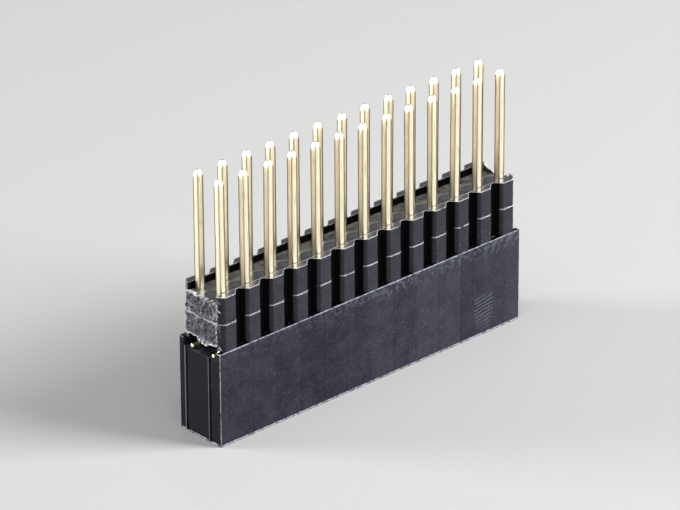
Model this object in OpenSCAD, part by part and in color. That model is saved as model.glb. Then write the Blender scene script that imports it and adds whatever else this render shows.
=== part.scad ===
// Double-row stacking header. A moulded socket housing stands on its open face, its
// contacts run up as long square tails, and two breakaway insulators sit on the tails.
// One end of both insulators is torn, where they were broken off a longer strip.
// Origin: middle of the base. +X runs along the rows, +Y to the back row, +Z up.

/* [Layout] */
// Contacts in each of the two rows
pins_per_row = 13; // [3:1:16]
// Distance between neighbouring contacts in a row
pitch = 2.54; // [2.5:0.01:3]
// Distance between the front row and the back row
row_spacing = 2.54; // [2.3:0.01:3]

/* [Socket housing] */
// Height of the housing, base to the top of its side walls
housing_h = 8.3; // [7.5:0.1:12]
// From a row's axis to the long side beside it
side_margin = 1.18; // [1.1:0.01:1.5]
// From the last contact's axis to the end face
end_margin = 1.27; // [1.2:0.01:1.6]
// Radius of the four upright corners
corner_r = 0.15; // [0.05:0.01:0.3]
// Chamfer around the base
base_chamfer = 0.08; // [0.02:0.01:0.2]
// Depth of the open channel between the side walls
channel_depth = 0.7; // [0.3:0.05:1]
// Thickness of the floor that the mating pins enter through
entry_floor = 1.2; // [0.9:0.05:1.8]
// Width of the square mouth of each lead-in
mouth_w = 1.6; // [1.2:0.05:1.9]
// Width of the square hole behind each lead-in
entry_w = 0.9; // [0.75:0.01:1.1]
// Depth of each lead-in
mouth_depth = 0.7; // [0.3:0.05:0.8]
// Distance between the two upright grooves in an end face
groove_spacing = 2.8; // [2:0.1:3.4]
// Offset of the pair of grooves towards the back
groove_offset = 0.2; // [-0.3:0.05:0.3]
// Width of a groove
groove_w = 0.35; // [0.2:0.05:0.5]
// Depth of a groove
groove_depth = 0.13; // [0.05:0.01:0.2]

/* [Contact] */
// Thickness of the square tail
tail_t = 0.64; // [0.5:0.01:0.7]
// Chamfer along the four long edges of the tail
tail_chamfer = 0.06; // [0.01:0.01:0.1]
// Free length of the tail above the upper insulator
tail_free = 9.8; // [4:0.1:14]
// Length of the tapered tip
tip_length = 0.6; // [0.3:0.05:1]
// Width of the blunt end of the tip
tip_w = 0.22; // [0.1:0.01:0.3]
// Width of the shoulder that stops the contact in its cavity
shoulder_w = 1.9; // [1.75:0.01:1.95]
// Thickness of the shoulder plate
shoulder_t = 0.3; // [0.2:0.01:0.5]
// Height that the shoulder stands above the channel floor
shoulder_rise = 0.2; // [0:0.05:0.5]
// Height of the shoulder's part inside the cavity
shoulder_grip = 1.0; // [0.6:0.1:1.5]
// Width of the spring leaves where they start
leaf_w = 1.5; // [1.2:0.01:1.6]
// Width of the spring leaves at their lower ends
leaf_end_w = 0.8; // [0.5:0.05:1.1]
// Distance across the outside of the pair of leaves
leaf_span = 1.3; // [1.1:0.01:1.3]
// How much closer the leaves stand at their ends than at the bridge
leaf_draw = 0.05; // [0:0.01:0.15]
// Length of the straight start of the leaves below the bridge
leaf_straight = 0.6; // [0.2:0.1:1]
// Thickness of a leaf
leaf_t = 0.2; // [0.15:0.01:0.25]
// Gap between the leaves where they grip
pinch_gap = 0.4; // [0.2:0.01:0.55]
// Height of the grip above the cavity floor
pinch_height = 1.6; // [1:0.1:2.5]
// Clearance between the leaf ends and the cavity floor
leaf_clearance = 0.3; // [0.1:0.05:0.5]
// Thickness of the bridge that joins the leaves
bridge_t = 0.3; // [0.2:0.05:0.6]

/* [Insulators] */
// Height of each insulator
insulator_h = 2.4; // [2:0.05:3.2]
// From a row's axis to the long side of an insulator
insulator_margin = 1.08; // [1.05:0.01:1.15]
// Depth of the trough in one face of each insulator
trough_depth = 0.65; // [0.2:0.05:1]
// Wall left between a tail hole and the side of the trough
trough_wall_gap = 0.03; // [0.01:0.01:0.05]
// Flat width of each pad between two notches
pad_flat = 1.18; // [0.9:0.02:1.4]
// Depth of the breakaway notches
notch_depth = 0.6; // [0.4:0.01:0.64]
// Radius at the bottom of a notch
notch_r = 0.18; // [0.1:0.01:0.25]
// From the last tail's axis to the torn end
tear_reach = 1.02; // [0.9:0.01:1.2]
// From the last tail's axis to the snapped end
snap_reach = 1.15; // [1:0.01:1.25]
// Height of the roughness on the torn end
tear_rough = 0.12; // [0.05:0.01:0.2]
// Height of the bulge in the middle of the torn end
tear_bulge = 0.1; // [0:0.01:0.2]
// Height of the roughness on the snapped end
snap_rough = 0.04; // [0.01:0.01:0.08]
// Thickness of the scrap of web left standing across the trough at the snapped end
scrap_t = 0.1; // [0.06:0.01:0.2]

/* [Fits] */
// Clearance on each side of a shoulder in its cavity
shoulder_clearance = 0.02; // [0.01:0.01:0.05]
// Clearance on each side of the leaves across the rows
leaf_side_clearance = 0.05; // [0.02:0.01:0.06]
// Clearance on each side of the leaves along the rows
leaf_end_clearance = 0.08; // [0.03:0.01:0.1]
// Clearance on each side of a tail in its hole
tail_clearance = 0.02; // [0.01:0.005:0.05]

/* [Hidden] */
$fn = 48;
// Overlap that lets a cut run cleanly past a face
past = 0.05;
black_housing = [0.10, 0.10, 0.13];
black_insulator = [0.13, 0.13, 0.16];
gold = [0.86, 0.69, 0.36];

row_length = (pins_per_row - 1) * pitch;
housing_l = row_length + 2 * end_margin;
housing_w = row_spacing + 2 * side_margin;
channel_z = housing_h - channel_depth;
ledge_z = channel_z - shoulder_grip;

shoulder_cavity_x = shoulder_w + 2 * shoulder_clearance;
leaf_cavity_x = leaf_w + 2 * leaf_end_clearance;
cavity_y = leaf_span + 2 * leaf_side_clearance;
channel_w = row_spacing + cavity_y;

lower_z = housing_h;
upper_z = lower_z + insulator_h;
tip_z = upper_z + insulator_h + tail_free;
insulator_w = row_spacing + 2 * insulator_margin;
tail_hole = tail_t + 2 * tail_clearance;
trough_w = row_spacing + tail_hole + 2 * trough_wall_gap;

// Steps of each curved stretch of a spring leaf
leaf_steps = 6;
// Cells of a broken face, across the rows and upwards
break_cells = [14, 8];
// Thickness of what is cut off behind a broken face
offcut = 3;
// How far the sheet of a broken face reaches past the insulator on every side
sheet_past = 0.5;
// Upper edge of the scrap of web: share of the trough's width, share of its depth
scrap_edge = [
    [-0.5, 1], [-0.46, 0.95], [-0.40, 0.62], [-0.33, 0.68], [-0.26, 0.36], [-0.15, 0.28], [-0.02, 0.10],
    [0.10, 0.18], [0.19, 0.32], [0.27, 0.40], [0.34, 0.58], [0.42, 0.92], [0.5, 1]
];

front = 0;
back = 1;
row_y = [-row_spacing / 2, row_spacing / 2];
pin_numbers = [1:pins_per_row];

function pin_x(number) = (number - (pins_per_row + 1) / 2) * pitch;
function contact_name(row, number) =
    str("contact_", row == front ? "front_" : "back_", number < 10 ? "0" : "", number);

// A bar along X with the given outline of Y and Z points, centred on X
module along_x(length)
    rotate([90, 0, 90]) translate([0, 0, -length / 2]) linear_extrude(length) children();

// A bar along Y with the given outline of X and Z points, centred on Y
module along_y(length)
    rotate([90, 0, 0]) translate([0, 0, -length / 2]) linear_extrude(length) children();

module rounded_rectangle(size, radius) {
    square([size.x - 2 * radius, size.y], center = true);
    square([size.x, size.y - 2 * radius], center = true);
    for (sx = [-1, 1], sy = [-1, 1])
        translate([sx * (size.x / 2 - radius), sy * (size.y / 2 - radius)]) circle(radius);
}

// Upright outline of a block whose two lower corners are chamfered
module chamfered_side(width, height, chamfer)
    polygon([
        [-width / 2, chamfer], [-width / 2 + chamfer, 0],
        [width / 2 - chamfer, 0], [width / 2, chamfer],
        [width / 2, height], [-width / 2, height]
    ]);

// The solid block of the housing: rounded upright corners and a chamfered base
module housing_block()
    intersection() {
        linear_extrude(housing_h) rounded_rectangle([housing_l, housing_w], corner_r);
        along_x(housing_l + 1) chamfered_side(housing_w, housing_h, base_chamfer);
        along_y(housing_w + 1) chamfered_side(housing_l, housing_h, base_chamfer);
    }

// Tapered square mouth that leads a mating pin to its contact
module lead_in() {
    slope = (mouth_w - entry_w) / 2 / mouth_depth;
    outer = mouth_w / 2 + slope * past;
    taper = [
        [-outer, -past], [outer, -past],
        [entry_w / 2, mouth_depth], [-entry_w / 2, mouth_depth]
    ];
    intersection() {
        along_x(mouth_w + 1) polygon(taper);
        along_y(mouth_w + 1) polygon(taper);
    }
}

// An upright square-edged cut of the given size between two heights
module shaft(size_x, size_y, from_z, to_z)
    translate([-size_x / 2, -size_y / 2, from_z]) cube([size_x, size_y, to_z - from_z]);

// All that is hollow around one contact: lead-in, spring cavity and shoulder seat
module socket_cell() {
    lead_in();
    shaft(entry_w, entry_w, mouth_depth - past, entry_floor + past);
    shaft(leaf_cavity_x, cavity_y, entry_floor, ledge_z + past);
    shaft(shoulder_cavity_x, cavity_y, ledge_z, channel_z + past);
}

module end_grooves()
    for (end = [-1, 1], side = [-1, 1])
        translate([end * housing_l / 2, groove_offset + side * groove_spacing / 2, housing_h / 2])
            cube([2 * groove_depth, groove_w, housing_h + 2 * past], center = true);

module socket_housing()
    color(black_housing)
        difference() {
            housing_block();
            translate([-housing_l, -channel_w / 2, channel_z])
                cube([2 * housing_l, channel_w, channel_depth + past]);
            for (number = pin_numbers, row = [front, back])
                translate([pin_x(number), row_y[row], 0]) socket_cell();
            end_grooves();
        }

// Place of a leaf's middle line across the rows, at the given height: straight down
// from the bridge, in to the grip, and out again at its end, each on a cosine curve
leaf_root_z = ledge_z - bridge_t;
leaf_bend_z = leaf_root_z - leaf_straight;
leaf_pinch_z = entry_floor + pinch_height;
leaf_end_z = entry_floor + leaf_clearance;
leaf_root_y = (leaf_span - leaf_t) / 2;
leaf_pinch_y = (pinch_gap + leaf_t) / 2;
leaf_end_y = leaf_root_y - leaf_draw;

function ease(from, to, t) = from + (to - from) * (1 - cos(180 * t)) / 2;
leaf_line = concat(
    [[leaf_root_y, leaf_root_z + bridge_t / 2]],
    [for (i = [0:leaf_steps])
        [ease(leaf_root_y, leaf_pinch_y, i / leaf_steps),
         leaf_bend_z + (leaf_pinch_z - leaf_bend_z) * i / leaf_steps]],
    [for (i = [1:leaf_steps])
        [ease(leaf_pinch_y, leaf_end_y, i / leaf_steps),
         leaf_pinch_z + (leaf_end_z - leaf_pinch_z) * i / leaf_steps]]
);

module leaf_side() {
    last = len(leaf_line) - 1;
    polygon(concat(
        [for (p = leaf_line) [p.x - leaf_t / 2, p.y]],
        [for (i = [last:-1:0]) [leaf_line[i].x + leaf_t / 2, leaf_line[i].y]]
    ));
}

// The pair of spring leaves, which narrow towards their lower ends
module leaves()
    intersection() {
        along_x(leaf_w + 1)
            for (side = [0, 1]) mirror([side, 0]) leaf_side();
        along_y(leaf_span + 1)
            polygon([
                [-leaf_end_w / 2, leaf_end_z - 1], [leaf_end_w / 2, leaf_end_z - 1],
                [leaf_end_w / 2, leaf_end_z], [leaf_w / 2, leaf_root_z],
                [leaf_w / 2, ledge_z], [-leaf_w / 2, ledge_z],
                [-leaf_w / 2, leaf_root_z], [-leaf_end_w / 2, leaf_end_z]
            ]);
    }

// One side view of the square tail. Its bullet-shaped tip tapers slowly over the first
// half of its length and quickly over the second.
module tail_side() {
    foot_z = leaf_root_z + bridge_t / 2;
    slow_half = tail_t / 2 - (tail_t - tip_w) / 5;
    polygon([
        [-tail_t / 2, foot_z], [tail_t / 2, foot_z],
        [tail_t / 2, tip_z - tip_length], [slow_half, tip_z - tip_length / 2],
        [tip_w / 2, tip_z], [-tip_w / 2, tip_z],
        [-slow_half, tip_z - tip_length / 2], [-tail_t / 2, tip_z - tip_length]
    ]);
}

// The square of the tail with its four corners cut off
module tail_outline() {
    side = tail_t / 2;
    inner = side - tail_chamfer;
    polygon([
        [side, -inner], [side, inner], [inner, side], [-inner, side],
        [-side, inner], [-side, -inner], [-inner, -side], [inner, -side]
    ]);
}

module tail()
    intersection() {
        along_x(tail_t + 1) tail_side();
        along_y(tail_t + 1) tail_side();
        linear_extrude(tip_z + 1) tail_outline();
    }

// One stamped contact, upright on its own axis: leaves, bridge, shoulder and tail
module contact()
    color(gold) {
        leaves();
        shaft(leaf_w, leaf_span, leaf_root_z, ledge_z);
        shaft(shoulder_w, shoulder_t, ledge_z, channel_z + shoulder_rise);
        tail();
    }

// A breakaway notch seen from above, cut into a side that runs along X at y = 0:
// two straight flanks that meet a round bottom at a tangent
module notch_outline() {
    half = (pitch - pad_flat) / 2;
    centre_y = notch_depth - notch_r;
    reach = norm([half, centre_y]);
    // Direction from the middle of the round bottom to where a flank touches it
    touch = acos(notch_r / reach) - atan2(centre_y, half);
    touch_x = notch_r * cos(touch);
    touch_y = centre_y + notch_r * sin(touch);
    polygon([[-half, -past], [half, -past], [half, 0], [touch_x, touch_y], [-touch_x, touch_y], [-half, 0]]);
    translate([0, centre_y]) circle(notch_r);
}

module insulator_outline()
    difference() {
        square([row_length + 2 * pitch, insulator_w], center = true);
        for (gap = [0:pins_per_row], side = [0, 1])
            translate([pin_x(gap + 0.5), 0]) mirror([0, side])
                translate([0, -insulator_w / 2]) notch_outline();
    }

// The offcut behind a broken end: a block whose near face is a rough sheet of small
// facets. x = wander + grain, where the wander bulges towards the middle of the face
// and the grain is drawn at random for each corner of a facet.
module broken_off(reach, rough, bulge, seed) {
    ny = break_cells[0];
    nz = break_cells[1];
    size_y = insulator_w + 2 * sheet_past;
    size_z = insulator_h + 2 * sheet_past;
    grain = rands(-1, 1, (ny + 1) * (nz + 1), seed);
    function corner(j, k) = [
        reach + bulge * sin(180 * j / ny) * sin(180 * k / nz) + rough * grain[j * (nz + 1) + k],
        size_y * (j / ny - 0.5),
        size_z * k / nz - sheet_past
    ];
    function at(j, k) = j * (nz + 1) + k;
    sheet = [for (j = [0:ny], k = [0:nz]) corner(j, k)];
    far_x = reach + offcut;
    far = [for (y = [-1, 1], z = [0, 1]) [far_x, y * size_y / 2, size_z * z - sheet_past]];
    first = len(sheet);
    polyhedron(
        points = concat(sheet, far),
        faces = concat(
            [for (j = [0:ny - 1], k = [0:nz - 1]) [at(j, k), at(j, k + 1), at(j + 1, k + 1)]],
            [for (j = [0:ny - 1], k = [0:nz - 1]) [at(j, k), at(j + 1, k + 1), at(j + 1, k)]],
            [concat([for (j = [ny:-1:0]) at(j, 0)], [first, first + 2])],
            [concat([for (j = [0:ny]) at(j, nz)], [first + 3, first + 1])],
            [concat([for (k = [0:nz]) at(0, k)], [first + 1, first])],
            [concat([for (k = [nz:-1:0]) at(ny, k)], [first + 2, first + 3])],
            [[first, first + 1, first + 3, first + 2]]
        )
    );
}

// One insulator on its flat face, trough up, torn at -X and snapped at +X
module insulator(seed)
    difference() {
        linear_extrude(insulator_h) insulator_outline();
        translate([-row_length, -trough_w / 2, insulator_h - trough_depth])
            cube([2 * row_length, trough_w, trough_depth + past]);
        for (number = pin_numbers, row = [front, back])
            translate([pin_x(number), row_y[row], 0])
                shaft(tail_hole, tail_hole, -past, insulator_h);
        mirror([1, 0, 0])
            broken_off(row_length / 2 + tear_reach, tear_rough, tear_bulge, seed);
        broken_off(row_length / 2 + snap_reach, snap_rough, 0, seed + 1);
    }

// Trough down, so that its rims stand on the housing's side walls
module lower_insulator()
    color(black_insulator)
        translate([0, 0, lower_z + insulator_h]) rotate([180, 0, 0]) insulator(11);

// A scrap of web across the trough, broken away in the middle
module scrap_of_web() {
    inner = trough_w + 2 * trough_wall_gap;
    floor_z = insulator_h - trough_depth;
    translate([row_length / 2 + snap_reach - snap_rough - scrap_t, 0, 0])
        along_x(scrap_t)
            polygon(concat(
                [for (p = scrap_edge) [p.x * inner, floor_z + p.y * trough_depth]],
                [[inner / 2, floor_z - past], [-inner / 2, floor_z - past]]
            ));
}

module upper_insulator()
    color(black_insulator)
        translate([0, 0, upper_z]) {
            insulator(27);
            scrap_of_web();
        }

socket_housing();
lower_insulator();
upper_insulator();
for (row = [front, back], number = pin_numbers)
    translate([pin_x(number), row_y[row], 0]) contact();
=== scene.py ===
"""Dresses a double-row stacking header: a black socket housing, two breakaway
insulators that are torn at one end, and 26 long square gold tails."""

import math

import bpy
import numpy as np
from mathutils import Matrix, Vector


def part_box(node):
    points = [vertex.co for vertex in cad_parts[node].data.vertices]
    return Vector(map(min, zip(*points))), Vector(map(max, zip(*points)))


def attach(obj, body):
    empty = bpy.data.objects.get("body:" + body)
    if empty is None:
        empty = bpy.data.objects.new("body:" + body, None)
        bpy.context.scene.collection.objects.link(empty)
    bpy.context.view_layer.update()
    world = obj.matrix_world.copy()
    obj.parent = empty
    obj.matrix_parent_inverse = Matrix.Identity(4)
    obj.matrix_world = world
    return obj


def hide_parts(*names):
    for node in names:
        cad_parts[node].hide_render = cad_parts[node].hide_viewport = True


bl_info = {
    "name": "Stacking Header",
    "version": (1, 0, 0),
    "blender": (4, 5, 0),
    "location": "View3D > Sidebar > Header",
    "description": "Builds a stacking header with torn insulators and gold tails",
    "category": "Add Mesh",
}

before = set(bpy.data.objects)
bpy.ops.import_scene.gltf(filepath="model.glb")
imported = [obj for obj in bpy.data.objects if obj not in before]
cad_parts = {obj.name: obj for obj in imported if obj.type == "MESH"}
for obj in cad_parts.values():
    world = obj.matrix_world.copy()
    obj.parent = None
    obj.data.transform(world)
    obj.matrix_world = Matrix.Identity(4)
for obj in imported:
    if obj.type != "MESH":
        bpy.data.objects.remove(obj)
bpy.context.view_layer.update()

MM = 0.001
MICRON = 0.000001

PINS_PER_ROW = 13
PITCH = 2.54
ROWS = {"front": -1.27, "back": 1.27}
FIRST_PIN = -PITCH * (PINS_PER_ROW - 1) / 2
PIN_X = FIRST_PIN + PITCH * np.arange(PINS_PER_ROW)


def highest(node):
    """Highest corner of a node of the frame, in millimetres."""
    return [float(v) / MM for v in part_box(node)[1]]


# The part is centred on the Z axis and stands on the floor
HOUSING_END, HOUSING_SIDE, HOUSING_TOP = highest("socket_housing")
SEAM_Z = highest("lower_insulator")[2]
RIM_Z = highest("upper_insulator")[2]
TIP_Z = highest("contact_front_01")[2]

# Inside the housing: the floor of the channel along its top, and the ledge that
# carries each contact
CHANNEL_Z = HOUSING_TOP - 0.7
LEDGE_Z = CHANNEL_Z - 1.0

# The two upright grooves in each end face. Their middles lie this far to both sides
# of a middle line along Y.
GROOVE_MIDDLE = 0.2
GROOVE_SPREAD = 1.4
GROOVE_HALF = 0.175
GROOVE_DEPTH = 0.13

# The insulators: half their width over the pads, the trough, and the broken ends
INSULATOR_HALF = 2.35
TROUGH_DEPTH = 0.65
TROUGH_HALF = 1.64
TAIL_HOLE = 0.68
NOTCH_DEPTH = 0.6
TEAR_X = FIRST_PIN - 1.02
SNAP_X = -FIRST_PIN + 1.12

# Colours that the looks below don't set
PALE_HOUSING = (0.082, 0.083, 0.106, 1.0)
# Pale colour of the painted highlight on the housing's edges
HOUSING_EDGE_HIGHLIGHT = (0.33, 0.34, 0.37, 1.0)
DEEP_SHADE = (0.0006, 0.0006, 0.001, 1.0)
COOL_SHEEN = (0.80, 0.83, 1.0, 1.0)
PALE_INSULATOR = (0.070, 0.071, 0.092, 1.0)
# Pale colour both of strained plastic near the tear and of the painted highlight on the insulators'
# edges
PALE_STRAIN_AND_HIGHLIGHT = (0.55, 0.56, 0.60, 1.0)
# Painted shade in the notches between the pads and on the trough's walls
NOTCH_SHADE_BLACK = (0.0005, 0.0005, 0.0008, 1.0)
# Painted reflection as a paler area on the trough's floor, and painted shade in a dark arc at each pair
# of tails
TROUGH_REFLECTION_GREY = (0.130, 0.128, 0.118, 1.0)
ARC_SHADE_BLACK = (0.001, 0.001, 0.001, 1.0)
PALE_CREST = (0.58, 0.59, 0.62, 1.0)
WORLD_GREY = (0.80, 0.82, 0.86, 1.0)

# Edges that turn by more than this are rounded
SHARP_EDGE = math.radians(30)

# How far an outline's points are pushed towards its corners. It stays below a quarter,
# so that the points keep their order.
CORNER_CROWDING = 0.22

# Width of the camera's sensor, and of the picture that its focal length is given in
SENSOR_MM = 36
PICTURE_PIXELS = 680


# Sizes and colours that a user may change


class HousingLook(bpy.types.PropertyGroup):
    """Looks of the socket housing"""

    colour: bpy.props.FloatVectorProperty(
        name="Colour", description="Colour of the housing's plastic",
        subtype="COLOR", size=3, min=0, max=1, default=(0.008, 0.008, 0.015))
    corner_round: bpy.props.FloatProperty(
        name="Corner rounding", description="Rounding of the four upright corners",
        unit="LENGTH", precision=5, min=0.05 * MM, max=0.3 * MM, default=0.15 * MM)


class InsulatorLook(bpy.types.PropertyGroup):
    """Looks of both insulators"""

    colour: bpy.props.FloatVectorProperty(
        name="Colour", description="Colour of the insulators' plastic",
        subtype="COLOR", size=3, min=0, max=1, default=(0.012, 0.012, 0.020))
    torn_colour: bpy.props.FloatVectorProperty(
        name="Torn colour", description="Colour of the plastic where it is torn",
        subtype="COLOR", size=3, min=0, max=1, default=(0.018, 0.019, 0.026))
    pad_flat: bpy.props.FloatProperty(
        name="Pad flat", description="Width of the flat of each pad",
        unit="LENGTH", precision=5, min=0.8 * MM, max=1.4 * MM, default=1.10 * MM)
    edge_round: bpy.props.FloatProperty(
        name="Edge rounding", description="Rounding of the moulded edges",
        unit="LENGTH", precision=5, min=0.01 * MM, max=0.1 * MM, default=0.05 * MM)


class ContactLook(bpy.types.PropertyGroup):
    """Looks of the contacts' tails"""

    colour: bpy.props.FloatVectorProperty(
        name="Colour", description="Colour of the gold plating",
        subtype="COLOR", size=3, min=0, max=1, default=(1.0, 0.90, 0.67))
    squareness: bpy.props.FloatProperty(
        name="Squareness", description="Power of the tail's outline: higher is sharper",
        min=4, max=20, default=6.5)
    lean: bpy.props.FloatProperty(
        name="Lean", description="How far a tip may stand off its true place",
        unit="LENGTH", precision=5, min=0, max=0.1 * MM, default=0.05 * MM)


class StageLook(bpy.types.PropertyGroup):
    """Looks of the floor and the lights"""

    floor_colour: bpy.props.FloatVectorProperty(
        name="Floor colour", description="Colour of the floor",
        subtype="COLOR", size=3, min=0, max=1, default=(0.42, 0.42, 0.415))
    key_power: bpy.props.FloatProperty(
        name="Key light", description="Power of the light at the front right",
        unit="POWER", min=0, max=20, default=4.4)
    top_power: bpy.props.FloatProperty(
        name="Top light", description="Power of the light overhead",
        unit="POWER", min=0, max=20, default=1.0)
    left_power: bpy.props.FloatProperty(
        name="Left light", description="Power of the low light at the back left",
        unit="POWER", min=0, max=20, default=2.8)
    back_power: bpy.props.FloatProperty(
        name="Back light", description="Power of the light at the back right",
        unit="POWER", min=0, max=20, default=0.10)


# Shapes


def cell_block(xs, ys, zs, is_filled):
    """Skin of a block of cells between planes at xs, ys and zs: one quad wherever a
    filled cell meets an empty one. is_filled tells them apart by the cells' middles.
    Gives the points, the quads, and the numbers (i, j, k) of the planes through each
    point, so that a caller can move the points."""
    lines = [np.asarray(line, float) for line in (xs, ys, zs)]
    middles = [(line[:-1] + line[1:]) / 2 for line in lines]
    counts = np.array([len(line) for line in lines])
    solid = np.zeros(counts + 1, bool)
    solid[1:-1, 1:-1, 1:-1] = is_filled(*np.meshgrid(*middles, indexing="ij"))
    quads = []
    for axis in range(3):
        a = (axis + 1) % 3
        b = (axis + 2) % 3
        below = np.moveaxis(solid, axis, 0)[:-1]
        above = np.moveaxis(solid, axis, 0)[1:]
        for outward, wall in ((True, below & ~above), (False, above & ~below)):
            places = np.argwhere(np.moveaxis(wall, 0, axis))
            corner = places.copy()
            corner[:, [a, b]] -= 1
            step_a = np.eye(3, dtype=int)[a]
            step_b = np.eye(3, dtype=int)[b]
            ring = [corner, corner + step_a, corner + step_a + step_b, corner + step_b]
            if not outward:
                ring.reverse()
            quads.append(np.stack(
                [np.ravel_multi_index(c.T, counts) for c in ring], axis=1))
    quads = np.concatenate(quads)
    used, quads = np.unique(quads, return_inverse=True)
    planes = np.stack(np.unravel_index(used, counts), axis=1)
    points = np.stack([line[planes[:, axis]] for axis, line in enumerate(lines)], axis=1)
    return points, quads.reshape(-1, 4), planes


def planes_from(*groups):
    """Sorted planes from several lists, with those closer than a micron merged."""
    lines = np.unique(np.round(np.concatenate([np.ravel(g) for g in groups]), 4))
    return lines[np.concatenate([[True], np.diff(lines) > 0.001])]


def ring_shape(points, squareness):
    """A closed outline |x|^n + |y|^n = 1: a square with round corners for large n.
    The points are crowded towards the corners, where the outline turns."""
    turn = 2 * math.pi * np.arange(points) / points
    turn = turn + CORNER_CROWDING * np.sin(4 * turn)
    c = np.cos(turn)
    s = np.sin(turn)
    reach = (np.abs(c) ** squareness + np.abs(s) ** squareness) ** (-1 / squareness)
    return np.stack([c * reach, s * reach], axis=1)


def ring_quads(rings, points):
    """The faces that join rings of so many points, each ring to the one after it."""
    start = np.arange(rings - 1)[:, None] * points
    here = start + np.arange(points)
    after = start + (np.arange(points) + 1) % points
    return np.stack([here, after, after + points, here + points], axis=-1).reshape(-1, 4)


def bar(middles, half_x, half_y, outline):
    """A closed bar: the outline, scaled to half_x and half_y, at each of the middles,
    joined ring by ring and capped at both ends."""
    middles = np.asarray(middles, float)
    rings = len(middles)
    points = len(outline)
    half = np.stack([np.broadcast_to(half_x, rings), np.broadcast_to(half_y, rings)], axis=1)
    verts = np.repeat(middles[:, None, :], points, axis=1)
    verts[:, :, :2] += outline[None] * half[:, None]
    caps = [list(range(points - 1, -1, -1)), list(range((rings - 1) * points, rings * points))]
    return verts.reshape(-1, 3), ring_quads(rings, points).tolist() + caps


def joined(parts):
    """Several (points, faces) pairs as one."""
    verts = []
    faces = []
    first = 0
    for points, rings in parts:
        verts.append(points)
        faces += [[first + v for v in ring] for ring in rings]
        first += len(points)
    return np.concatenate(verts), faces


def from_nearest_pin(x):
    """Distance along the row from the nearest pin, with its sign."""
    return (x - FIRST_PIN + PITCH / 2) % PITCH - PITCH / 2


def from_nearest_row(y):
    """Distance across the rows from the nearest row, without its sign."""
    return np.abs(np.abs(y) - ROWS["back"])


def lattice_noise(u, v, cell, seed):
    """Smooth noise from -1 to 1: random values on a square lattice of the given cell,
    blended between the lattice points along a curve that is level at each of them."""
    rng = np.random.default_rng(seed)
    size = 64
    values = rng.uniform(-1, 1, (size, size))
    u = np.asarray(u) / cell + size / 2
    v = np.asarray(v) / cell + size / 2
    iu = np.floor(u).astype(int)
    iv = np.floor(v).astype(int)
    fu = u - iu
    fv = v - iv
    fu = fu * fu * (3 - 2 * fu)
    fv = fv * fv * (3 - 2 * fv)

    def at(a, b):
        return values[a % size, b % size]

    low = at(iu, iv) * (1 - fu) + at(iu + 1, iv) * fu
    high = at(iu, iv + 1) * (1 - fu) + at(iu + 1, iv + 1) * fu
    return low * (1 - fv) + high * fv


def make_piece(name, points, faces, material, slot, replaced=(), smooth_angle=35, **marks):
    """A mesh object at the origin from points in millimetres, riding on the part. Each
    mark is a value per point that the material reads by its name."""
    if isinstance(faces, np.ndarray):
        faces = faces.tolist()
    mesh = bpy.data.meshes.new(name)
    mesh.from_pydata((np.asarray(points) * MM).tolist(), [], faces)
    mesh.validate()
    mesh.shade_smooth()
    mesh.set_sharp_from_angle(angle=math.radians(smooth_angle))
    for label, values in marks.items():
        layer = mesh.attributes.new(label, "FLOAT", "POINT")
        layer.data.foreach_set("value", np.asarray(values, np.float32))
    mesh.materials.append(material)
    piece = bpy.data.objects.new(name, mesh)
    bpy.context.scene.collection.objects.link(piece)
    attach(piece, "root")
    if replaced:
        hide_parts(*replaced)
    return piece


def edge_turns(mesh):
    """Angle between the two faces at each edge, its middle in millimetres, and how far
    it runs along each axis."""
    normals = np.empty(len(mesh.polygons) * 3)
    mesh.polygons.foreach_get("normal", normals)
    normals = normals.reshape(-1, 3)
    totals = np.empty(len(mesh.polygons), int)
    mesh.polygons.foreach_get("loop_total", totals)
    face_of_loop = np.repeat(np.arange(len(totals)), totals)
    edge_of_loop = np.empty(len(mesh.loops), int)
    mesh.loops.foreach_get("edge_index", edge_of_loop)
    order = np.argsort(edge_of_loop, kind="stable")
    first = np.searchsorted(edge_of_loop[order], np.arange(len(mesh.edges)))
    face_a = face_of_loop[order[first]]
    face_b = face_of_loop[order[first + 1]]
    turn = np.arccos(np.clip((normals[face_a] * normals[face_b]).sum(1), -1, 1))
    ends = np.empty(len(mesh.edges) * 2, int)
    mesh.edges.foreach_get("vertices", ends)
    places = np.empty(len(mesh.vertices) * 3)
    mesh.vertices.foreach_get("co", places)
    places = places.reshape(-1, 3)[ends.reshape(-1, 2)]
    return turn, places.mean(1) / MM, np.abs(places[:, 1] - places[:, 0])


def round_edges(piece, width, weight_of):
    """Bevels the piece's sharp edges. weight_of gives each edge's share of the width
    from the edges' middles and directions."""
    mesh = piece.data
    turn, middles, along = edge_turns(mesh)
    weights = np.where(turn > SHARP_EDGE, weight_of(middles, along), 0.0)
    layer = mesh.attributes.new("bevel_weight_edge", "FLOAT", "EDGE")
    layer.data.foreach_set("value", weights.astype(np.float32))
    bevel = piece.modifiers.new("Moulded edges", "BEVEL")
    bevel.width = width
    bevel.segments = 3
    bevel.limit_method = "WEIGHT"


# Materials. Sizes in them are in millimetres, and noise scales are per metre.


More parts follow.
